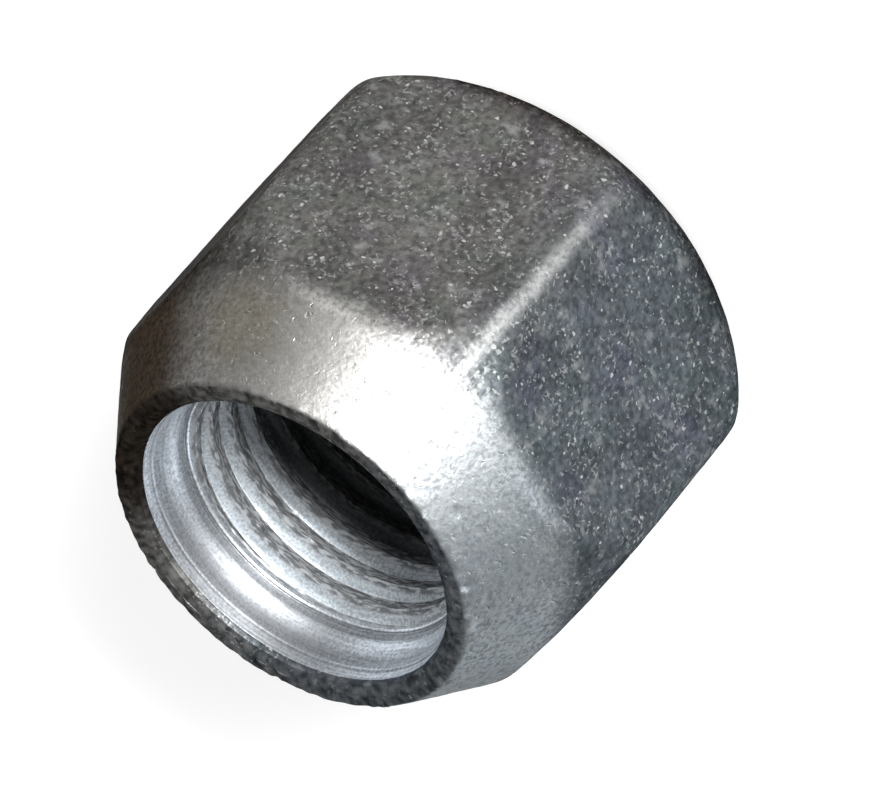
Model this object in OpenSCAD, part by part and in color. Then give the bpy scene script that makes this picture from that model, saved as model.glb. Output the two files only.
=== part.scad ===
// Open-ended lug nut with a conical seat: a wrench hexagon whose upright corners
// run out in a convex blend into a cone around the mouth of a threaded bore.
// Millimetres. The nut stands on its flat back face with the mouth up; the origin
// is on the bore axis at the back face, +Z runs towards the mouth and +X through
// a corner of the hexagon.

/* [Hexagon] */
// Distance across the flats
across_flats = 19.05; // [18.8:0.05:19.3]

/* [Length] */
// From the flat back face to the rim of the mouth
height = 17.46; // [16:0.02:22]

/* [Conical seat] */
// Included angle of the cone
seat_angle = 60; // [56:1:64]
// Outer diameter of the rim around the mouth
rim_d = 15.16; // [14.8:0.02:15.6]
// Diameter at the wide end of the cone, where the blend takes over
seat_d = 19.12; // [18.8:0.02:19.4]
// Radius of the convex blend from the cone to the trimmed corners
blend_r = 8.9; // [8:0.1:9.4]

/* [Back end] */
// Diameter of the flat back face
back_d = 15.7; // [15.2:0.1:16.4]
// Height at which the round from the back face meets the trimmed corners
back_depth = 3.18; // [2.8:0.02:3.6]
// Angle at which the round leaves the back face
back_break = 25; // [20:1:30]

/* [Bore] */
// Diameter over the crests of the 1/2-20 internal thread
crest_d = 11.46; // [11.34:0.02:11.6]
// Diameter of the short land between the flare and the step
land_d = 12.4; // [12.2:0.02:12.6]
// Length of the land
land_len = 0.2; // [0.1:0.02:0.6]
// Included angle of the step from the land to the thread
step_angle = 134; // [100:2:150]
// Diameter of the lip, where the mouth chamfer meets the flare
lip_d = 13; // [12.8:0.02:13.2]
// Depth of the flare's lower end below the rim
flare_depth = 2.36; // [2.2:0.02:2.8]
// Angle to the bore axis at which the flare leaves the lip
flare_break = 2; // [1:0.5:4]
// Inner diameter of the rim, where the mouth chamfer opens
mouth_d = 14.1; // [13.6:0.02:14.3]
// Included angle of the mouth chamfer
mouth_angle = 68; // [60:1:100]
// Diameter of the countersink in the back face
sink_d = 13.2; // [12.7:0.1:13.8]
// Included angle of the countersink in the back face
sink_angle = 90; // [80:5:120]

/* [Hidden] */
$fn = 180;
// Overrun of each cut past the face it opens in
over = 1;
// The blend's circle stands out this far past the cone and the body, so that it
// crosses both at a slight edge
blend_proud = 0.01;

half_flats = across_flats / 2;
// Seat: the cone runs down from the rim to seat_z, where the blend takes over
seat_half = seat_angle / 2;
seat_z = height - (seat_d - rim_d) / 2 / tan(seat_half);
blend_centre = [seat_d / 2 - blend_r * cos(seat_half), seat_z - blend_r * sin(seat_half)];
// The blend turns upright at the body radius, which trims the corners
body_r = blend_centre[0] + blend_r;
// Height at which the cone, carried on down, would reach the body radius
cone_foot = height - (body_r - rim_d / 2) / tan(seat_half);
// Back round: an arc that leaves the back face at back_break and ends at
// back_depth on the body radius, so its chord gives its radius and centre
back_run = body_r - back_d / 2;
back_round = norm([back_run, back_depth]) / 2 / sin(atan2(back_depth, back_run) - back_break);
back_centre = [back_d / 2 - back_round * sin(back_break), back_round * cos(back_break)];
// Heights of the lip, of the flare's lower end and of the land's lower edge
lip_z = height - (mouth_d - lip_d) / 2 / tan(mouth_angle / 2);
flare_z = height - flare_depth;
land_z = flare_z - land_len;
// Flare: a hollow arc that leaves the lip at flare_break and ends on the land,
// so its chord gives its radius and centre
flare_run = [(lip_d - land_d) / 2, lip_z - flare_z];
flare_r = norm(flare_run) / 2 / sin(atan2(flare_run[0], flare_run[1]) - flare_break);
flare_centre = [lip_d / 2 - flare_r * cos(flare_break), lip_z + flare_r * sin(flare_break)];
// Depths of the step and of the back countersink
step_depth = (land_d - crest_d) / 2 / tan(step_angle / 2);
sink_depth = (sink_d - crest_d) / 2 / tan(sink_angle / 2);

// The wrench hexagon before its corners are trimmed
module hexagon() {
    cylinder(r = half_flats / cos(30), h = height, $fn = 6);
}

// Half section of the turned outside: back face, body, cone and rim, with the
// back round and the blend each rounding off one corner of it
module outside() {
    intersection() {
        polygon([[0, 0], [body_r, 0], [body_r, cone_foot], [rim_d / 2, height], [0, height]]);
        union() {
            translate(back_centre) circle(back_round);
            translate([0, -over]) square([back_centre[0], height]);
            translate([0, back_centre[1]]) square([2 * body_r, height]);
        }
        union() {
            translate(blend_centre) circle(blend_r + blend_proud);
            square([2 * body_r, blend_centre[1]]);
            translate([0, seat_z]) square([2 * body_r, height]);
        }
    }
}

// Everything cut out along the axis but the flare: back countersink, thread
// crests, step, land and mouth chamfer, the chamfer carried on down to the land
module drilled() {
    mouth_slope = tan(mouth_angle / 2);
    polygon([
        [0, -over],
        [sink_d / 2 + over * tan(sink_angle / 2), -over],
        [crest_d / 2, sink_depth],
        [crest_d / 2, land_z - step_depth],
        [land_d / 2, land_z],
        [land_d / 2, lip_z - (lip_d - land_d) / 2 / mouth_slope],
        [mouth_d / 2 + over * mouth_slope, height + over],
        [0, height + over]]);
}

// The hollow between the lip and the land: the flare's arc swells it outwards
module flare() {
    intersection() {
        translate(flare_centre) circle(flare_r);
        translate([0, land_z]) square([lip_d / 2 + over, lip_z - land_z]);
    }
}

module bore() {
    rotate_extrude() {
        drilled();
        flare();
    }
}

module nut() {
    color([0.5, 0.51, 0.53])
    difference() {
        intersection() {
            hexagon();
            rotate_extrude() outside();
        }
        bore();
    }
}

nut();
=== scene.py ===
from math import atan2, cos, degrees, hypot, pi, radians, sin, tan

import bpy
import numpy as np
from mathutils import Matrix, Vector, noise


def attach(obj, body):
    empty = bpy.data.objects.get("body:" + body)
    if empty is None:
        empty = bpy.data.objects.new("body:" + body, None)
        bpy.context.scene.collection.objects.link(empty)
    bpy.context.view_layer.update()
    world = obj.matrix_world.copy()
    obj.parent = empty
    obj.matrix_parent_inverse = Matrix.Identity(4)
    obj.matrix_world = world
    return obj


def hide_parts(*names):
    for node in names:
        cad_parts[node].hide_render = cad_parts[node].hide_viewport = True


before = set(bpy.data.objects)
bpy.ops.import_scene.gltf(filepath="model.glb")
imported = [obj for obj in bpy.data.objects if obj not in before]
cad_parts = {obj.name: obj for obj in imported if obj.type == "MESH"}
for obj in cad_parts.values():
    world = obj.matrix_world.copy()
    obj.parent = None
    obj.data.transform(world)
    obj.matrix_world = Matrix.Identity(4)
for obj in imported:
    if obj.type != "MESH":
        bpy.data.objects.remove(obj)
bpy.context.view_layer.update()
mm = 0.001  # the sizes below are in millimetres
print("frame loaded")


def deselectAll():
    bpy.ops.object.select_all(action="DESELECT")


def chooseOnly(piece):
    deselectAll()
    piece.select_set(True)
    bpy.context.view_layer.objects.active = piece


def applyAll(piece):
    chooseOnly(piece)
    for modifier in list(piece.modifiers):
        bpy.ops.object.modifier_apply(modifier=modifier.name)


def drawChain(name, points, closed=False):
    # a chain of vertices in the XZ plane, extruded one after another
    deselectAll()
    bpy.ops.mesh.primitive_plane_add(size=mm)
    piece = bpy.context.object
    piece.name = name
    bpy.ops.object.mode_set(mode="EDIT")
    bpy.ops.mesh.merge(type="CENTER")
    bpy.ops.transform.translate(value=(points[0][0] * mm, 0, points[0][1] * mm))
    for a, b in zip(points, points[1:]):
        step = ((b[0] - a[0]) * mm, 0, (b[1] - a[1]) * mm)
        bpy.ops.mesh.extrude_vertices_move(TRANSFORM_OT_translate={"value": step})
    bpy.ops.mesh.select_all(action="SELECT")
    if closed:
        bpy.ops.mesh.edge_face_add()
        bpy.ops.mesh.delete(type="ONLY_FACE")
    bpy.ops.object.mode_set(mode="OBJECT")
    return piece


def spinChain(piece, steps):
    # once round the bore axis, then the poles are closed and the faces turned outwards
    chooseOnly(piece)
    bpy.ops.object.mode_set(mode="EDIT")
    bpy.ops.mesh.select_all(action="SELECT")
    bpy.ops.mesh.spin(steps=steps, angle=2 * pi, center=(0, 0, 0), axis=(0, 0, 1))
    bpy.ops.mesh.select_all(action="SELECT")
    bpy.ops.mesh.remove_doubles(threshold=0.002 * mm)
    bpy.ops.mesh.normals_make_consistent(inside=False)
    bpy.ops.object.mode_set(mode="OBJECT")
    return piece


def evenPoints(corners, spacing):
    # the points of an outline, spaced evenly along each of its straight stretches
    points = [corners[0]]
    for (r0, z0), (r1, z1) in zip(corners, corners[1:]):
        count = max(1, round(hypot(r1 - r0, z1 - z0) / spacing))
        for k in range(1, count + 1):
            points.append((r0 + (r1 - r0) * k / count, z0 + (z1 - z0) * k / count))
    return points


def arcPoints(centre, radius, start, end, spacing):
    # points along an arc from one angle to another, in degrees from the +X direction
    count = max(2, round(radius * abs(radians(end - start)) / spacing))
    angles = [radians(start + (end - start) * k / count) for k in range(count + 1)]
    return [(centre[0] + radius * cos(a), centre[1] + radius * sin(a)) for a in angles]


def getPoints(piece):
    points = np.empty(len(piece.data.vertices) * 3)
    piece.data.vertices.foreach_get("co", points)
    return points.reshape(-1, 3) / mm


def setPoints(piece, points):
    piece.data.vertices.foreach_set("co", (points * mm).ravel())
    piece.data.update()


def getNormals(piece):
    normals = np.empty(len(piece.data.vertices) * 3)
    piece.data.vertex_normals.foreach_get("vector", normals)
    return normals.reshape(-1, 3)


def rise(value, low, high):
    # smooth step from 0 at low to 1 at high
    t = np.clip((value - low) / (high - low), 0, 1)
    return t * t * (3 - 2 * t)


def roughness(points, stretch):
    # smooth noise from about -1 to 1 at each point, finer where stretch is larger
    return np.array([noise.noise(Vector(p)) for p in points * np.array(stretch)])


def softMin(a, b, softness):
    # the lower of two heights, rounded where they cross
    near = np.maximum(softness - abs(a - b), 0) / softness
    return np.minimum(a, b) - near * near * softness / 4


# the blank: turned outside, six flats pressed in, then dented and nicked
blankSize = {
    "acrossFlats": 19.05,
    "height": 17.46,
    "seatAngle": 60,        # included angle of the conical seat
    "rimWidth": 15.16,      # over the rim round the mouth
    "seatWidth": 19.12,     # over the wide end of the cone
    "blendRadius": 8.9,
    "backWidth": 15.7,      # over the flat back face
    "backDepth": 3.18,      # where the back round meets the corners
    "backBreak": 25,        # angle at which that round leaves the back face
    "core": 4,              # radius of the plain middle, which the bore takes away
    "backFrom": 6.2,        # radius from which the back face has rows of its own
    "rimFrom": 6.5,         # and the rim
    "rimBreak": (0.05, 0.03, 0.06),     # the rim's edge: out on the cone, down the rim and in on its flat
    "steps": 440,           # spokes round the axis
    "rowGap": 0.15,
    "flatRowGap": 0.22,
    "backRowGap": 0.25,
    "pressFrom": 8.6,       # radius from which the flats are pressed in
    "cornerSoftness": 0.05,
    "scallopSoftness": 0.16,
    "scallopZone": (9.5, 12.5),     # heights over which the edges soften towards the scallops
    "backSoftness": 0.45,
    "backZone": (4.2, 2.7),         # and towards the back round
    "waves": [(0.0026, 0.03), (0.0007, 0.022)],     # size and depth of the unevenness, in metres and mm
}
wearSize = {
    "seed": 11,
    "dents": 150,
    "dentsFrom": (7.2, 0.3),    # dents lie outside this radius and above this height
    "dentWidth": (0.22, 0.6),
    "dentDepth": (0.012, 0.045),
    "dentShape": (0.4, 1),      # a dent's width, as a share of its length
    "dentBright": 0.6,          # how bright the bare metal in a dent may be, and in a nick on the rim
    # nicks on the +30 degree flat: across from its middle, height, length, width, turn, depth
    "flatNicks": [
        (-1.46, 8.28, 0.34, 0.28, 20, 0.06), (-1.2, 8.7, 0.4, 0.16, 70, 0.04),
        (-3.78, 6.31, 0.28, 0.2, 0, 0.05), (0.86, 11.81, 0.6, 0.2, 35, 0.05),
        (2.92, 8.35, 0.45, 0.16, 80, 0.05), (3.31, 3.86, 0.5, 0.3, 10, 0.06),
        (-0.72, 3.3, 0.36, 0.22, 50, 0.05), (0.9, 8.9, 0.7, 0.12, 60, 0.035),
    ],
    # nicks on the rim: azimuth, radius, width, depth
    "rimNicks": [
        (-46, 7.45, 0.3, 0.05), (-52, 7.45, 0.22, 0.04), (-58, 7.42, 0.26, 0.06), (-66, 7.5, 0.34, 0.06),
        (-73, 7.4, 0.22, 0.05), (-88, 7.42, 0.42, 0.14), (-101, 7.5, 0.2, 0.07), (131, 7.3, 0.3, 0.08),
        (62, 7.4, 0.24, 0.07), (-117, 7.4, 0.24, 0.08), (158, 7.5, 0.2, 0.07), (205, 7.45, 0.3, 0.08),
    ],
    "nickShape": 1.4,           # a rim nick's reach across the rim, as a share of its width
    "rimRoughness": 0.05,
    "rimGrain": 2.6,            # how fine that roughness is
    "rimSpan": (6.9, 7.8),      # radii between which it lies
    "rimDepth": (0.25, 0.02),   # depths below the rim from which it starts and is full
}


def blankOutline(size):
    # half section from the axis at the back to the axis at the mouth
    half = radians(size["seatAngle"] / 2)
    rim, gap, height, core = size["rimWidth"] / 2, size["rowGap"], size["height"], size["core"]
    onCone, down, onFlat = size["rimBreak"]
    seat = size["seatWidth"] / 2
    seatFoot = (seat, height - (seat - rim) / tan(half))
    blend = (seat - size["blendRadius"] * cos(half), seatFoot[1] - size["blendRadius"] * sin(half))
    body = blend[0] + size["blendRadius"]
    foot, leave = size["backWidth"] / 2, radians(size["backBreak"])
    lean = atan2(size["backDepth"], body - foot) - leave
    roundRadius = hypot(body - foot, size["backDepth"]) / 2 / sin(lean)
    roundCentre = (foot - roundRadius * sin(leave), roundRadius * cos(leave))
    start = size["backBreak"] - 90
    points = [(0, 0), (core, 0)]
    points += evenPoints([(size["backFrom"], 0), (foot, 0)], size["backRowGap"])
    points += arcPoints(roundCentre, roundRadius, start, start + 2 * degrees(lean), gap)[1:]
    points += evenPoints([(body, size["backDepth"]), (body, blend[1])], size["flatRowGap"])[1:]
    points += arcPoints(blend, size["blendRadius"], 0, size["seatAngle"] / 2, gap)[1:]
    points += evenPoints([seatFoot, (rim + onCone, height - onCone / tan(half))], gap)[1:]
    points += [(rim, height - down), (rim - onFlat, height)]
    points += evenPoints([(rim - onFlat, height), (size["rimFrom"], height)], gap)[1:]
    points += [(core, height), (0, height)]
    return points


def pressFlats(piece, size):
    # draws every vertex outside the hexagon in to the nearest flat, with a soft edge
    points = getPoints(piece)
    radius = np.hypot(points[:, 0], points[:, 1])
    angle = np.arctan2(points[:, 1], points[:, 0])
    flat = size["acrossFlats"] / 2 / np.cos((angle % (pi / 3)) - pi / 6)
    (start, full), (backStart, backFull) = size["scallopZone"], size["backZone"]
    upper = np.clip((points[:, 2] - start) / (full - start), 0, 1)
    lower = np.clip((backStart - points[:, 2]) / (backStart - backFull), 0, 1)
    softness = size["cornerSoftness"] + (size["scallopSoftness"] - size["cornerSoftness"]) * upper
    softness += (size["backSoftness"] - size["cornerSoftness"]) * lower
    pressed = np.where(radius > size["pressFrom"], softMin(radius, flat, softness), radius)
    scale = np.divide(pressed, radius, out=np.ones_like(radius), where=radius > 0)
    points[:, :2] *= scale[:, None]
    setPoints(piece, points)


def addWaves(piece, size):
    # the plated skin is never quite even
    for k, (grainSize, depth) in enumerate(size["waves"]):
        clouds = bpy.data.textures.new("skin%d" % k, "CLOUDS")
        clouds.noise_scale = grainSize
        clouds.noise_depth = 1
        skin = piece.modifiers.new("skin%d" % k, "DISPLACE")
        skin.texture = clouds
        skin.texture_coords = "LOCAL"
        skin.strength = depth * mm
    applyAll(piece)


def pressDent(points, normals, centre, axes, widths, depth):
    # a shallow elliptical dent with a slight raised lip; returns how deep it is at each vertex
    lipHeight, lipPlace, lipSharpness = 0.35, 1.6, 5
    away = points - centre
    near = np.abs(away).max(axis=1) < 3 * max(widths)
    u = away @ axes[0] / widths[0] * 2
    v = away @ axes[1] / widths[1] * 2
    reach = u * u + v * v
    lip = lipHeight * np.exp(-(np.sqrt(reach) - lipPlace) ** 2 * lipSharpness)
    bowl = np.where(near, np.exp(-reach) - lip, 0)
    points -= normals * (depth * bowl)[:, None]
    return np.where(near, np.exp(-reach), 0)


def wearBlank(piece, size, blank):
    # dents scattered over the outside, nicks on one flat and on the rim
    # returns how bright the bare metal shows at each vertex
    points, normals = getPoints(piece), getNormals(piece)
    bright = np.zeros(len(points))
    height, apothem = blank["height"], blank["acrossFlats"] / 2
    draw = np.random.default_rng(size["seed"])
    radius = np.hypot(points[:, 0], points[:, 1])
    outside = np.flatnonzero((radius > size["dentsFrom"][0]) & (points[:, 2] > size["dentsFrom"][1]))
    for k in draw.choice(outside, size["dents"], replace=False):
        across = np.cross(normals[k], draw.normal(size=3))
        across /= np.linalg.norm(across)
        along = np.cross(normals[k], across)
        width = draw.uniform(*size["dentWidth"])
        widths = (width, width * draw.uniform(*size["dentShape"]))
        depth = draw.uniform(*size["dentDepth"])
        dent = pressDent(points, normals, points[k].copy(), (across, along), widths, depth)
        bright = np.maximum(bright, dent * draw.uniform(0, size["dentBright"]))
    face = radians(30)
    out, side = np.array([cos(face), sin(face), 0]), np.array([-sin(face), cos(face), 0])
    top = np.array([0, 0, 1])
    for across, z, long, wide, turn, depth in size["flatNicks"]:
        centre = out * apothem + side * across + top * z
        c, s = cos(radians(turn)), sin(radians(turn))
        axes = (side * c + top * s, top * c - side * s)
        nick = pressDent(points, normals, centre, axes, (long, wide), depth)
        bright = np.maximum(bright, nick)
    for azimuth, r, width, depth in size["rimNicks"]:
        a = radians(azimuth)
        centre = np.array([r * cos(a), r * sin(a), height])
        axes = (np.array([-sin(a), cos(a), 0]), np.array([cos(a), sin(a), 0]))
        nick = pressDent(points, normals, centre, axes, (width, width * size["nickShape"]), depth)
        bright = np.maximum(bright, nick * size["dentBright"])
    (inner, outer), (low, high) = size["rimSpan"], size["rimDepth"]
    rim = rise(points[:, 2], height - low, height - high) * (radius > inner) * (radius < outer)
    ragged = roughness(points, [size["rimGrain"]] * 3) * size["rimRoughness"] * rim
    points += normals * ragged[:, None]
    setPoints(piece, points)
    return bright


nut = spinChain(drawChain("nutBody", blankOutline(blankSize)), blankSize["steps"])
pressFlats(nut, blankSize)
addWaves(nut, blankSize)
nicked = wearBlank(nut, wearSize, blankSize)
mark = nut.data.attributes.new("nicked", "FLOAT", "POINT")
mark.data.foreach_set("value", nicked)
print("blank pressed and worn:", len(nut.data.polygons), "faces")

boreSize = {
    "crestRadius": 5.73,
    "steps": 288,
    "sinkRadius": 6.6,
    "wallRadius": 6.75,     # what lies inside this near the mouth is bore wall
    "platedDepth": 0.4,     # the plating reaches this far in from the rim
    "fineDownTo": 10.2,     # height down to which the crests are seen from the mouth
    # radius and height down the mouth's chamfer, the flare and the step
    "mouth": [(7.12, 17.46), (6.92, 17.4), (6.7, 17.26), (6.6, 17.06), (6.58, 16.9), (6.56, 16.84),
              (6.56, 16.7), (6.5, 16.57)],
    "flare": [(6.49, 16.5), (6.475, 16.26), (6.45, 16.02), (6.42, 15.86), (6.375, 15.71), (6.325, 15.56),
              (6.27, 15.42), (6.23, 15.3), (6.205, 15.18), (6.19, 15.08)],
    "step": [(6.19, 14.96), (6.15, 14.88), (6.08, 14.87), (6.03, 14.79), (5.79, 14.74), (5.73, 14.66)],
    "gaps": (0.1, 0.08, 0.14, 2.4),     # row spacing at the mouth, on the step, on the seen crests and below
    "flareStreaks": 0.008,  # depth of the drawn marks down the flare
    "streakShape": (4.2, 0.35),     # how close together they lie, round the bore and along it
    "streakZone": (14.95, 15.2, 17.3, 17.5),    # heights at which they start, are full, fade and end
    "chips": 0.07,          # depth of the torn places along the crests
    "chipShape": (3.1, 6),  # how close together those lie, round the bore and along it
    "chipNoise": (0.12, 0.6),       # noise at which a chip starts, and from there to its full depth
    "chipZone": (14.9, 14.7),       # heights at which they start and are full
    "crestSpan": (5, 5.9),          # radii between which a vertex is on a crest
}
threadSize = {
    "pitch": 1.27,
    "rootRadius": 6.35,
    "grooveHeight": 12.92,  # of a groove's middle on the -X side
    "turns": 14,
    "turnsBelow": 12.5,     # from that groove down to where the sweep starts
    # the groove's section from the root inwards: change of radius, half width
    "rootShape": [(0, 0), (-0.02, 0.06), (-0.13, 0.155)],
    "flank": 30,            # slope of a flank, in degrees
    "inner": 5.5,           # radius at which the section ends, in the open bore
    "steps": 180,
}


def boreCutter(size):
    mouth, crest, sink = size["mouth"], size["crestRadius"], size["sinkRadius"]
    mouthGap, stepGap, crestGap, deepGap = size["gaps"]
    points = [(0, mouth[0][1] + 1), (mouth[0][0] + 0.8, mouth[0][1] + 1)]
    points += evenPoints(mouth, mouthGap) + size["flare"] + evenPoints(size["step"], stepGap)
    points += evenPoints([size["step"][-1], (crest, size["fineDownTo"])], crestGap)[1:]
    points += evenPoints([(crest, size["fineDownTo"]), (crest, sink - crest)], deepGap)[1:]
    points += [(sink + 1, -1), (0, -1)]
    return spinChain(drawChain("boreCutter", points), size["steps"])


def roughenBore(piece, size):
    # drawn streaks down the flare, and crests that the tap has torn
    points = getPoints(piece)
    radius = np.hypot(points[:, 0], points[:, 1])
    z = points[:, 2]
    start, full, fade, end = size["streakZone"]
    chipStart, chipFull = size["chipZone"]
    inner, outer = size["crestSpan"]
    flare = rise(z, start, full) * (1 - rise(z, fade, end)) * (radius > 6)
    crest = (radius < outer) * (radius > inner) * rise(-z, -chipStart, -chipFull)
    around, along = size["streakShape"]
    change = flare * roughness(points, (around, around, along)) * size["flareStreaks"]
    around, along = size["chipShape"]
    torn = roughness(points, (around, around, along)) + 0.6 * roughness(points + 40, (6, 6, 9))
    least, reach = size["chipNoise"]
    change += crest * np.clip(torn - least, 0, reach) / reach * size["chips"]
    scale = 1 + np.divide(change, radius, out=np.zeros_like(radius), where=radius > 1)
    points[:, :2] *= scale[:, None]
    setPoints(piece, points)


def threadCutter(size):
    # one groove section swept up the bore as a right-hand helix, its ends in the open
    root = size["rootRadius"]
    middle = size["grooveHeight"] - size["pitch"] * size["turnsBelow"]
    upper = [(root + change, half) for change, half in size["rootShape"]]
    shoulder, half = upper[-1]
    upper.append((size["inner"], half + (shoulder - size["inner"]) * tan(radians(size["flank"]))))
    section = [(r, -z) for r, z in reversed(upper[1:])] + upper
    piece = drawChain("threadCutter", [(r, z + middle) for r, z in section], closed=True)
    screw = piece.modifiers.new("helix", "SCREW")
    screw.axis = "Z"
    screw.screw_offset = size["pitch"] * mm
    screw.iterations = size["turns"]
    screw.steps = screw.render_steps = size["steps"]
    screw.use_merge_vertices = False
    applyAll(piece)
    bpy.ops.object.mode_set(mode="EDIT")
    bpy.ops.mesh.select_all(action="DESELECT")
    bpy.ops.mesh.select_non_manifold()
    bpy.ops.mesh.fill_holes(sides=0)
    bpy.ops.mesh.select_all(action="SELECT")
    bpy.ops.mesh.normals_make_consistent(inside=False)
    bpy.ops.object.mode_set(mode="OBJECT")
    return piece


def cutAway(piece, cutter):
    cut = piece.modifiers.new("cut", "BOOLEAN")
    cut.operation = "DIFFERENCE"
    cut.solver = "MANIFOLD"
    cut.object = cutter
    applyAll(piece)
    bpy.data.objects.remove(cutter)


bore = boreCutter(boreSize)
roughenBore(bore, boreSize)
cutAway(nut, bore)
cutAway(nut, threadCutter(threadSize))
triangles = sum(len(p.vertices) - 2 for p in nut.data.polygons)
print("bore and thread cut:", triangles, "triangles")

# where the plating is rubbed through to bright metal, where a highlight is painted on one corner, and where
# shade is painted on one side and under the back round, as masks over the surface
surfaceMaskSize = {
    "seat": (12.9, 14.7),       # heights between which the flats' grey gives way to the seat's brighter metal
    "corner": (0.3, 2.5),       # degrees from a hexagon corner between which its wear and painted highlight end
    "seatDimming": (26, 56, 0.42), # azimuths between which the seat turns darker, and how much of its brightness goes
    "cornerWearAndHighlight": (0.1, 0.6),   # how bright: wear on all corners, and a painted highlight added to the one at azimuth 0
    "sideFrom": (54, 80),       # azimuths between which shade is painted on one side, darkening it
    "sideTo": (125, 150),       # and between which it clears again
    "seatBrightAgain": (150, 175),     # azimuths between which the seat's brightness comes back
    "cornerZone": (2.4, 8.5),   # heights between which a corner's wear and painted highlight start
    "cornerWave": 0.8,          # degrees by which the edge of that mark wanders
    "rimDepth": (0.4, 0.04),    # depths below the rim between which its speckle starts
    "rimSpan": (6.6, 7.56),     # and the radii it lies between
    "speckle": (0.27, 0.8, 3.8),    # on the rim: mean wear, spread, how close together
    "backShade": (0.9, 2.6, 0.8),   # heights between which the shade painted on the back round clears, and how dark it is
}


def maskSurface(piece, size, blank):
    points = getPoints(piece)
    radius = np.hypot(points[:, 0], points[:, 1])
    azimuth = np.degrees(np.arctan2(points[:, 1], points[:, 0]))
    z = points[:, 2]
    seat = rise(z, *size["seat"]) * (radius > 7)
    fallFrom, fallTo, lost = size["seatDimming"]
    seat *= 1 - lost * rise(azimuth, fallFrom, fallTo) * (1 - rise(azimuth, *size["seatBrightAgain"]))
    fromCorner = abs((azimuth + 30) % 60 - 30) + size["cornerWave"] * roughness(points, (2.2, 2.2, 1.4))
    corner = (1 - rise(fromCorner, *size["corner"])) * rise(z, *size["cornerZone"]) * (radius > 9)
    (low, high), (inner, outer) = size["rimDepth"], size["rimSpan"]
    rim = rise(z, blank["height"] - low, blank["height"] - high) * (radius < outer) * (radius > inner)
    mean, spread, closeness = size["speckle"]
    speckled = np.clip(mean + spread * roughness(points, [closeness] * 3), 0, 0.9)
    # painted highlight: the corner at azimuth 0, which faces the lamps, is made far brighter than the others
    corner *= size["cornerWearAndHighlight"][0] + size["cornerWearAndHighlight"][1] * (1 - rise(abs(azimuth), 10, 20))
    wearAndHighlight = np.maximum(seat * (1 - rim) + speckled * rim, corner)
    # painted shade: one side, from about 54 to 150 degrees, and the back round underneath are darkened
    paintedShade = rise(azimuth, *size["sideFrom"]) * (1 - rise(azimuth, *size["sideTo"]))
    clearFrom, clearTo, dark = size["backShade"]
    under = (1 - rise(z, clearFrom, clearTo)) * (radius > 7.9)
    for name, mask in (("wearAndHighlight", wearAndHighlight), ("paintedShade", np.maximum(paintedShade, under * dark))):
        layer = piece.data.attributes.new(name, "FLOAT", "POINT")
        layer.data.foreach_set("value", mask)


maskSurface(nut, surfaceMaskSize, blankSize)
chooseOnly(nut)
bpy.ops.object.shade_smooth_by_angle(angle=radians(28))


def addNode(tree, kind, inputs=None, **settings):
    node = tree.nodes.new(kind)
    for name, value in settings.items():
        setattr(node, name, value)
    for name, value in (inputs or {}).items():
        if isinstance(value, bpy.types.NodeSocket):
            tree.links.new(value, node.inputs[name])
        else:
            node.inputs[name].default_value = value
    return node


def calculate(tree, operation, a, b=0.0):
    return addNode(tree, "ShaderNodeMath", {0: a, 1: b}, operation=operation).outputs[0]


def vectorMath(tree, operation, a, b):
    return addNode(tree, "ShaderNodeVectorMath", {0: a, 1: b}, operation=operation).outputs[0]


def vectorLength(tree, vector):
    return addNode(tree, "ShaderNodeVectorMath", {0: vector}, operation="LENGTH").outputs["Value"]


def average(tree, share, a, b):
    # a where the share is 0, b where it is 1
    return addNode(tree, "ShaderNodeMix", {0: share, 2: a, 3: b}, data_type="FLOAT").outputs[0]


def addBump(tree, shader, height, distance):
    bump = addNode(tree, "ShaderNodeBump", {"Height": height, "Distance": distance, "Strength": 1.0})
    tree.links.new(bump.outputs["Normal"], shader.inputs["Normal"])


def ramp(tree, value, low, high, start=0.0, end=1.0):
    limits = {"Value": value, "From Min": low, "From Max": high, "To Min": start, "To Max": end}
    return addNode(tree, "ShaderNodeMapRange", limits, interpolation_type="SMOOTHSTEP").outputs["Result"]


def between(tree, value, limits, start=0.0, end=1.0):
    # a ramp between two limits given in millimetres
    return ramp(tree, value, limits[0] * mm, limits[1] * mm, start, end)


def blend(tree, factor, a, b, how="MIX"):
    inputs = {0: factor, 6: a, 7: b}
    return addNode(tree, "ShaderNodeMix", inputs, data_type="RGBA", blend_type=how).outputs[2]


def greyOf(tree, value):
    return addNode(tree, "ShaderNodeCombineColor", {"Red": value, "Green": value, "Blue": value}).outputs[0]


def stretched(tree, vector, scale, shift=(0, 0, 0)):
    inputs = {"Vector": vector, "Scale": scale, "Location": shift}
    return addNode(tree, "ShaderNodeMapping", inputs).outputs[0]


def cloud(tree, vector, scale, detail=2.0, distortion=0.0):
    values = {"Vector": vector, "Scale": scale, "Detail": detail, "Distortion": distortion}
    return addNode(tree, "ShaderNodeTexNoise", values).outputs["Fac"]


def startGroup(name, inputs, outputs):
    tree = bpy.data.node_groups.new(name, "ShaderNodeTree")
    for direction, sockets in (("INPUT", inputs), ("OUTPUT", outputs)):
        for label, kind in sockets:
            tree.interface.new_socket(label, in_out=direction, socket_type="NodeSocket" + kind)
    return tree, tree.nodes.new("NodeGroupInput").outputs, tree.nodes.new("NodeGroupOutput").inputs


cloudLook = {
    "shade": (0.3, 0.7, 0.82, 1.18),            # noise from and to, and how dark and light it makes the metal
    "tints": [                                  # noise from and to, and the tint there
        (0.52, 0.68, (0.97, 0.93, 1.03, 1)),    # violet
        (0.48, 0.32, (0.95, 1.0, 0.98, 1)),     # green
    ],
}


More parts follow.
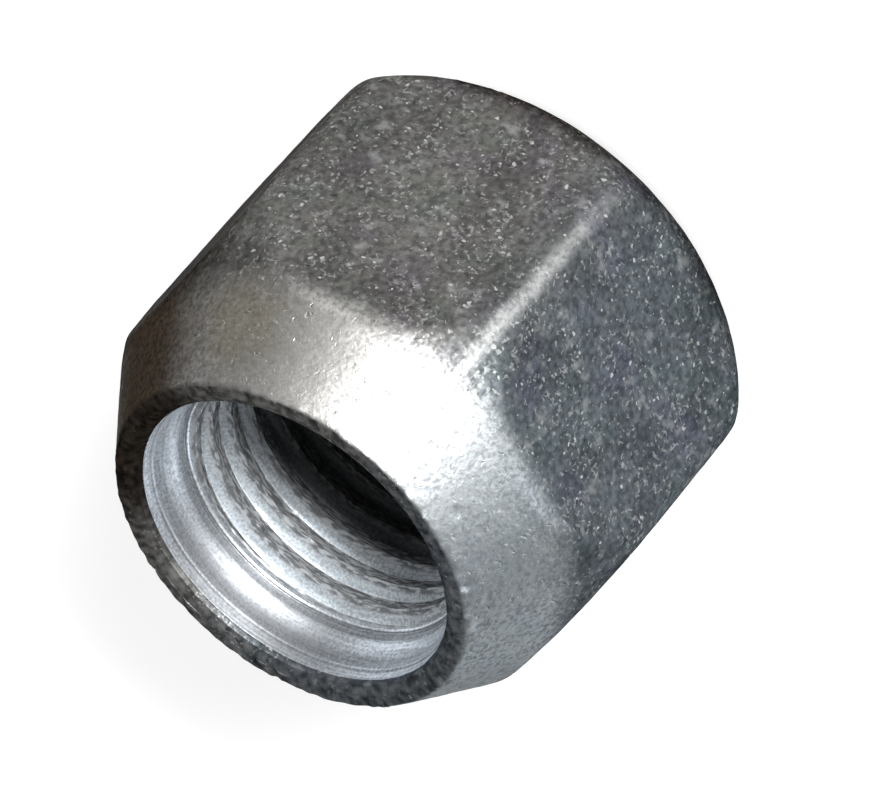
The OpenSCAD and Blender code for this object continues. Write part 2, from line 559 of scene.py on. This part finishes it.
def makeCloudyTone(look):
    # patches of violet and green grey, some darker and some lighter
    inputs = [("Position", "Vector"), ("Patch Scale", "Float"), ("Tone", "Color")]
    tree, given, result = startGroup("cloudyTone", inputs, [("Color", "Color")])
    patch = cloud(tree, given["Position"], given["Patch Scale"], 2.0, 0.4)
    moved = stretched(tree, given["Position"], (1, 1, 1), (0.031, 0.017, 0.023))
    hue = cloud(tree, moved, given["Patch Scale"], 1.0)
    tinted = (1, 1, 1, 1)
    for start, end, tint in look["tints"]:
        tinted = blend(tree, ramp(tree, hue, start, end), tinted, tint)
    shade = ramp(tree, patch, *look["shade"])
    toned = blend(tree, 1.0, given["Tone"], greyOf(tree, shade), "MULTIPLY")
    toned = blend(tree, 1.0, toned, tinted, "MULTIPLY")
    tree.links.new(toned, result["Color"])
    return tree


fleckLook = {
    # how fine each kind is, against the fleck scale
    "crowdScale": 0.15,
    "lineScale": 0.62,
    "pitScale": 0.8,
    "frostScale": 0.3,
    "grainScale": 0.85,
    # noise from and to, and what it becomes there
    "crowd": (0.36, 0.62, 0.35, 1.6),       # where the dots crowd together
    "dotReach": (0.2, 1.0, -0.05, 0.19),    # how large a dot grows
    "dotStrength": (0.35, 1.0, 0.22, 0.95),
    "dotEdge": (0.26, 0.1),
    "dotSway": 0.0002,                      # how far a dot's outline is pulled about, in metres
    "line": (0.075, 0.01),                  # half width of a crooked line, in noise
    "lineGate": (-0.04, 0.12),              # where a line breaks off
    "lineStrength": 0.5,
    "pits": (0.33, 0.2),
    "frost": (0.56, 0.74, 0.0, 0.34),       # the fine bloom between the dots
}


def makeSteelFlecks(look):
    # bright dots and short crooked lines of bare metal, small dark pits, and the grain between them
    inputs = [("Position", "Vector"), ("Fleck Scale", "Float"), ("Density", "Float")]
    outputs = [("Flecks", "Float"), ("Pits", "Float"), ("Grain", "Float"), ("Height", "Float")]
    tree, given, result = startGroup("steelFlecks", inputs, outputs)

    def scaled(share):
        return calculate(tree, "MULTIPLY", given["Fleck Scale"], share)

    wide = cloud(tree, given["Position"], scaled(look["crowdScale"]), 2.0)
    crowd = calculate(tree, "MULTIPLY", ramp(tree, wide, *look["crowd"]), given["Density"])
    noiseInputs = {"Vector": given["Position"], "Scale": scaled(1.0), "Detail": 0.0}
    warp = addNode(tree, "ShaderNodeTexNoise", noiseInputs).outputs["Color"]
    sway = vectorMath(tree, "MULTIPLY", warp, [look["dotSway"]] * 3)
    swayed = vectorMath(tree, "ADD", given["Position"], sway)
    cells = addNode(tree, "ShaderNodeTexVoronoi", {"Vector": swayed, "Scale": given["Fleck Scale"]})
    draw = addNode(tree, "ShaderNodeSeparateColor", {"Color": cells.outputs["Color"]})
    chosen = calculate(tree, "LESS_THAN", draw.outputs["Red"], crowd)
    reach = ramp(tree, draw.outputs["Green"], *look["dotReach"])
    dot = ramp(tree, calculate(tree, "SUBTRACT", cells.outputs["Distance"], reach), *look["dotEdge"])
    strength = ramp(tree, draw.outputs["Blue"], *look["dotStrength"])
    dots = calculate(tree, "MULTIPLY", calculate(tree, "MULTIPLY", dot, chosen), strength)
    line = cloud(tree, given["Position"], scaled(look["lineScale"]), 2.0, 0.5)
    fromLine = calculate(tree, "ABSOLUTE", calculate(tree, "SUBTRACT", line, 0.5))
    thin = ramp(tree, fromLine, *look["line"])
    moved = stretched(tree, given["Position"], (1, 1, 1), (0.013, 0.041, 0.007))
    broken = cloud(tree, moved, scaled(1.0), 1.0)
    gate = calculate(tree, "SUBTRACT", 0.68, calculate(tree, "MULTIPLY", crowd, 0.3))
    kept = ramp(tree, calculate(tree, "SUBTRACT", broken, gate), *look["lineGate"])
    lines = calculate(tree, "MULTIPLY", calculate(tree, "MULTIPLY", thin, kept), look["lineStrength"])
    pits = ramp(tree, cloud(tree, moved, scaled(look["pitScale"]), 1.0, 0.5), *look["pits"])
    frost = ramp(tree, cloud(tree, moved, scaled(look["frostScale"]), 4.0), *look["frost"])
    flecks = calculate(tree, "MAXIMUM", calculate(tree, "MAXIMUM", dots, lines), frost)
    grain = cloud(tree, given["Position"], scaled(look["grainScale"]), 3.0)
    height = calculate(tree, "ADD", grain, calculate(tree, "MULTIPLY", flecks, 0.5))
    height = calculate(tree, "SUBTRACT", height, pits)
    for label, value in (("Flecks", flecks), ("Pits", pits), ("Grain", grain), ("Height", height)):
        tree.links.new(value, result[label])
    return tree


cloudyTone = makeCloudyTone(cloudLook)
steelFlecks = makeSteelFlecks(fleckLook)


def startMaterial(name):
    material = bpy.data.materials.new(name)
    material.use_nodes = True
    tree = material.node_tree
    place = addNode(tree, "ShaderNodeTexCoord").outputs["Object"]
    return material, tree, tree.nodes["Principled BSDF"], place


def useGroup(tree, group, inputs):
    return addNode(tree, "ShaderNodeGroup", inputs, node_tree=group).outputs


plateLook = {
    "warmSideReflection": (0.108, 0.106, 0.101, 1),       # the flats towards +Y, a warm painted reflection tint
    "coolSideReflection": (0.082, 0.094, 0.105, 1),       # and towards -Y, a cooler, darker painted reflection tint
    "patchScale": 420,
    "fleckScale": 4600,
    "grainScale": 5520,
    "density": 0.33,
    "fleck": (0.54, 0.55, 0.54, 1),
    "seatWarmReflection": (0.56, 0.55, 0.53, 1),      # the seat's wear towards +Y, with a warm painted reflection tint
    "seatCoolShade": (0.40, 0.44, 0.47, 1),      # and towards -Y, painted darker and bluer as shade and reflection
    "shadeTint": (0.24, 0.2, 0.17, 1),          # what the colour is multiplied by where shade is painted
    "pit": (0.03, 0.03, 0.032, 1),
    "flatSeam": (-2.5, 2.5),                # y between which the flats' painted reflection tint turns from the -Y one to the +Y one
    "seatSeam": (-6, 4),                    # and the seat's
    "tan": (0.74, 0.66, 0.46, 1),           # a yellowish place on the seat
    "tanPlace": (5.2, 6.6, 15.0),
    "tanReach": (2.8, 0.8),                 # distances from it at which the tan starts and is full
    "shares": {"tan": 0.5, "fleck": 0.8},   # how much of the colour below each one takes
    "fine": (0.28, 0.72, 0.66, 1.36),       # grain from and to, and how dark and light it makes the metal
    "patchy": (0.34, 0.64, 0.54, 1.14),     # and how much of the wear and painted highlight it lets through
    "broken": (0.4, 0.6, 0.3, 1.0),         # and of a nick
    "pitted": (0.2, 0.9, 0.6, 0.12),        # mask of wear and painted highlight from and to, and how dark the pits are there
    "roughSpread": (0.08, -0.08),           # by how much the grain changes the roughness
    "metallic": 1.0,
    "specularTint": (0.3, 0.3, 0.3, 1),
    "roughness": (0.56, 0.46),              # of the dull flats and of the worn seat
    "bump": 0.014,                          # depth of the grain
}


def makePlatedSteel(look):
    material, tree, shader, place = startMaterial("platedSteel")
    side = addNode(tree, "ShaderNodeSeparateXYZ", {"Vector": place}).outputs["Y"]
    shares = look["shares"]
    # painted reflection: the flats are tinted by side, cooler and darker towards -Y, warmer towards +Y
    tone = blend(tree, between(tree, side, look["flatSeam"]), look["coolSideReflection"], look["warmSideReflection"])
    tones = useGroup(tree, cloudyTone, {"Position": place, "Patch Scale": look["patchScale"], "Tone": tone})
    fleckInputs = {"Position": place, "Fleck Scale": look["fleckScale"], "Density": look["density"]}
    flecks = useGroup(tree, steelFlecks, fleckInputs)
    wearAndHighlight, nicks, paintedShade = [addNode(tree, "ShaderNodeAttribute", attribute_name=name).outputs["Fac"]
                            for name in ("wearAndHighlight", "nicked", "paintedShade")]
    fine = ramp(tree, flecks["Grain"], *look["fine"])
    mottled = blend(tree, 1.0, tones["Color"], greyOf(tree, fine), "MULTIPLY")
    grain = cloud(tree, place, look["grainScale"], 3.0)
    # the mask holds the seat's and rim's wear and the corners' wear, with a painted highlight on the corner
    # at azimuth 0
    patchy = calculate(tree, "MULTIPLY", wearAndHighlight, ramp(tree, grain, *look["patchy"]))
    # painted reflection and shade: the seat's wear colour is warmer towards +Y, darker and bluer towards -Y
    wearWithPaintedSideTint = blend(tree, between(tree, side, look["seatSeam"]), look["seatCoolShade"], look["seatWarmReflection"])
    colour = blend(tree, patchy, mottled, wearWithPaintedSideTint)
    fromTan = vectorLength(tree, vectorMath(tree, "SUBTRACT", place, [c * mm for c in look["tanPlace"]]))
    tanMask = calculate(tree, "MULTIPLY", between(tree, fromTan, look["tanReach"]), shares["tan"])
    colour = blend(tree, tanMask, colour, blend(tree, 1.0, colour, look["tan"], "MULTIPLY"))
    broken = ramp(tree, flecks["Grain"], *look["broken"])
    chipped = calculate(tree, "MULTIPLY", ramp(tree, nicks, 0.2, 0.9), broken)
    bare = calculate(tree, "MAXIMUM", flecks["Flecks"], chipped)
    colour = blend(tree, calculate(tree, "MULTIPLY", bare, shares["fleck"]), colour, look["fleck"])
    pitted = calculate(tree, "MULTIPLY", flecks["Pits"], ramp(tree, wearAndHighlight, *look["pitted"]))
    colour = blend(tree, pitted, colour, look["pit"])
    # painted shade darkens that side and the back round
    colour = blend(tree, paintedShade, colour, blend(tree, 1.0, colour, look["shadeTint"], "MULTIPLY"))
    tree.links.new(colour, shader.inputs["Base Color"])
    rough = ramp(tree, wearAndHighlight, 0.2, 0.9, *look["roughness"])
    rough = calculate(tree, "ADD", rough, ramp(tree, grain, 0.3, 0.7, *look["roughSpread"]))
    tree.links.new(rough, shader.inputs["Roughness"])
    shader.inputs["Metallic"].default_value = look["metallic"]
    shader.inputs["Specular Tint"].default_value = look["specularTint"]
    addBump(tree, shader, flecks["Height"], look["bump"] * mm)
    return material


boreLook = {
    "flare": (0.72, 0.75, 0.79, 1),
    "thread": (0.82, 0.87, 0.91, 1),
    "crestDark": (0.2, 0.2, 0.21, 1),
    "crestLight": (0.8, 0.82, 0.84, 1),
    # dark rings: height, half width, what the metal is multiplied by
    "rings": [(16.64, 0.09, 0.5), (15.2, 0.07, 0.75), (14.92, 0.12, 0.42), (14.66, 0.14, 0.5)],
    # heights between which shade is painted into the bore and clears again, and how dark it gets
    "paintedBoreShade": (3.5, 7, 10, 12.2, 0.16),
    "flareBorder": (14.6, 15.0),            # heights between which the thread's metal turns to the flare's
    "crestBorder": (6.04, 5.86),            # radii between which a crest starts
    "crestShare": 0.85,                     # how much of the metal below a crest's tone takes
    "drawnShare": 0.2,                      # how much of the flare's marks are drawn, not turned
    "marks": (0.36, 0.64, 0.62, 1.22),      # noise from and to, and how dark and light it makes the metal
    "torn": (0.42, 0.6),                    # noise between which a crest's dark turns light
    "roughSpread": (0.07, -0.05),           # by how much the marks change the roughness
    "drawnScale": 6500,     # marks drawn down the flare
    "ringScale": 9000,      # marks turned round it
    "gritScale": 9000,
    "tornScale": 13000,     # along the crests
    "metallic": (0.82, 1.0),                # in the thread and up the flare
    "roughness": (0.5, 0.47),
    "bump": 0.008,
}


def makeMachinedSteel(look):
    material, tree, shader, place = startMaterial("machinedSteel")
    spread = addNode(tree, "ShaderNodeSeparateXYZ", {"Vector": place}).outputs
    flat = addNode(tree, "ShaderNodeCombineXYZ", {"X": spread["X"], "Y": spread["Y"]}).outputs[0]
    radius = vectorLength(tree, flat)
    upFlare = between(tree, spread["Z"], look["flareBorder"])
    tone = blend(tree, upFlare, look["thread"], look["flare"])
    drawn = cloud(tree, stretched(tree, place, (1, 1, 0.08)), look["drawnScale"], 2.0)
    rings = cloud(tree, stretched(tree, place, (0.05, 0.05, 1)), look["ringScale"], 3.0)
    grit = cloud(tree, place, look["gritScale"], 2.0)
    fade = ramp(tree, upFlare, 0.0, 1.0, 0.0, look["drawnShare"])
    marks = average(tree, 0.5, average(tree, fade, rings, drawn), grit)
    colour = blend(tree, 1.0, tone, greyOf(tree, ramp(tree, marks, *look["marks"])), "MULTIPLY")
    torn = cloud(tree, stretched(tree, place, (0.16, 0.16, 1)), look["tornScale"], 3.0, 0.3)
    belowFlare = calculate(tree, "SUBTRACT", 1.0, upFlare)
    crest = calculate(tree, "MULTIPLY", between(tree, radius, look["crestBorder"]), belowFlare)
    crestTone = blend(tree, ramp(tree, torn, *look["torn"]), look["crestDark"], look["crestLight"])
    colour = blend(tree, calculate(tree, "MULTIPLY", crest, look["crestShare"]), colour, crestTone)
    for z, width, share in look["rings"]:
        away = calculate(tree, "ABSOLUTE", calculate(tree, "SUBTRACT", spread["Z"], z * mm))
        ring = greyOf(tree, ramp(tree, away, 0.0, width * mm, share, 1.0))
        colour = blend(tree, 1.0, colour, ring, "MULTIPLY")
    # painted shade: the middle of the bore, where little light reaches, is darkened
    fromBack, deepFrom, deepTo, clear, share = look["paintedBoreShade"]
    below, above = [between(tree, spread["Z"], limits) for limits in ((deepFrom, fromBack), (deepTo, clear))]
    lit = calculate(tree, "MAXIMUM", below, above)
    colour = blend(tree, 1.0, colour, greyOf(tree, ramp(tree, lit, 0.0, 1.0, share, 1.0)), "MULTIPLY")
    tree.links.new(colour, shader.inputs["Base Color"])
    rough = ramp(tree, upFlare, 0.0, 1.0, *look["roughness"])
    rough = calculate(tree, "ADD", rough, ramp(tree, marks, 0.3, 0.7, *look["roughSpread"]))
    tree.links.new(rough, shader.inputs["Roughness"])
    tree.links.new(ramp(tree, upFlare, 0.0, 1.0, *look["metallic"]), shader.inputs["Metallic"])
    height = calculate(tree, "ADD", marks, calculate(tree, "MULTIPLY", torn, crest))
    addBump(tree, shader, height, look["bump"] * mm)
    return material


def assignBore(piece, blank, size):
    # the bore's walls, from the back face up to the plated rim, take the second material
    for face in piece.data.polygons:
        x, y, z = face.center / mm
        r = hypot(x, y)
        inside = r < size["sinkRadius"] - 0.01 or (r < size["wallRadius"] and z > blank["height"] - 2)
        face.material_index = 1 if inside and z < blank["height"] - size["platedDepth"] else 0


nut.data.materials.clear()
nut.data.materials.append(makePlatedSteel(plateLook))
nut.data.materials.append(makeMachinedSteel(boreLook))
assignBore(nut, blankSize, boreSize)
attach(nut, "root")
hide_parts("nut")
print("nut finished")

# floor, light and camera
stageSet = {
    "floorSize": 4,
    "paper": (0.85, 0.85, 0.85, 1),
    "paperGlow": 0.66,          # as seen by the camera and in the metal
    "underNut": (6.6, 10),      # radii between which that glow starts, clear of the bore's open back
    "room": (0.25, 0.25, 0.25, 1),
    "lamps": [                  # name, elevation, azimuth, distance, width, height, power
        ("keyLamp", 26, 1.5, 0.5, 0.13, 0.08, 2.6),
        ("stripLamp", 23, 4, 0.5, 0.48, 0.12, 1.0),
        ("sideLamp", 5, -46, 0.5, 0.36, 0.1, 0.34),
    ],
}


def makePaper(stage):
    material, tree, shader, place = startMaterial("paper")
    shader.inputs["Base Color"].default_value = stage["paper"]
    shader.inputs["Roughness"].default_value = 1
    shader.inputs["Specular IOR Level"].default_value = 0
    shader.inputs["Emission Color"].default_value = (1, 1, 1, 1)
    rays = addNode(tree, "ShaderNodeLightPath").outputs
    seen = calculate(tree, "MAXIMUM", rays["Is Camera Ray"], rays["Is Glossy Ray"])
    seen = calculate(tree, "MAXIMUM", seen, rays["Is Transmission Ray"])
    clear = between(tree, vectorLength(tree, place), stage["underNut"], 0.0, stage["paperGlow"])
    tree.links.new(calculate(tree, "MULTIPLY", seen, clear), shader.inputs["Emission Strength"])
    return material


deselectAll()
bpy.ops.mesh.primitive_plane_add(size=stageSet["floorSize"])
floor = bpy.context.object
floor.name = "floor"
floor.data.materials.append(makePaper(stageSet))

viewSet = {
    "elevation": 36.094,
    "azimuth": 3.442,           # from +X towards +Y
    "roll": -139.687,
    "distance": 332.62,         # from the middle of the nut
    "lens": 365.27,
    "sensor": 36,
    "shift": (26.632 / 878, 5.648 / 878),
    "clip": (0.01, 10),
}


def aim(elevation, azimuth):
    e, a = radians(elevation), radians(azimuth)
    return Vector((cos(e) * cos(a), cos(e) * sin(a), sin(e)))


middle = Vector((0, 0, blankSize["height"] / 2 * mm))
back = aim(viewSet["elevation"], viewSet["azimuth"])
level = Vector((0, 0, 1)).cross(back).normalized()
upright = back.cross(level)
turn = radians(viewSet["roll"])
right = level * cos(turn) + upright * sin(turn)
up = upright * cos(turn) - level * sin(turn)
bpy.ops.object.camera_add()
camera = bpy.context.object
camera.matrix_world = Matrix((right, up, back)).transposed().to_4x4()
camera.location = middle + back * viewSet["distance"] * mm
camera.data.lens = viewSet["lens"]
camera.data.sensor_width = viewSet["sensor"]
camera.data.shift_x, camera.data.shift_y = viewSet["shift"]
camera.data.clip_start, camera.data.clip_end = viewSet["clip"]
bpy.context.scene.camera = camera

for name, elevation, azimuth, distance, width, height, power in stageSet["lamps"]:
    bpy.ops.object.light_add(type="AREA")
    lamp = bpy.context.object
    lamp.name = name
    toLamp = aim(elevation, azimuth)
    lamp.location = middle + toLamp * distance
    lamp.rotation_euler = (-toLamp).to_track_quat("-Z", "Y").to_euler()
    lamp.data.shape = "RECTANGLE"
    lamp.data.size, lamp.data.size_y = width, height
    lamp.data.energy = power

world = bpy.data.worlds.new("room")
bpy.context.scene.world = world
world.use_nodes = True
world.node_tree.nodes["Background"].inputs["Color"].default_value = stageSet["room"]
bpy.context.scene.view_settings.view_transform = "Standard"
print("floor, light and camera set")
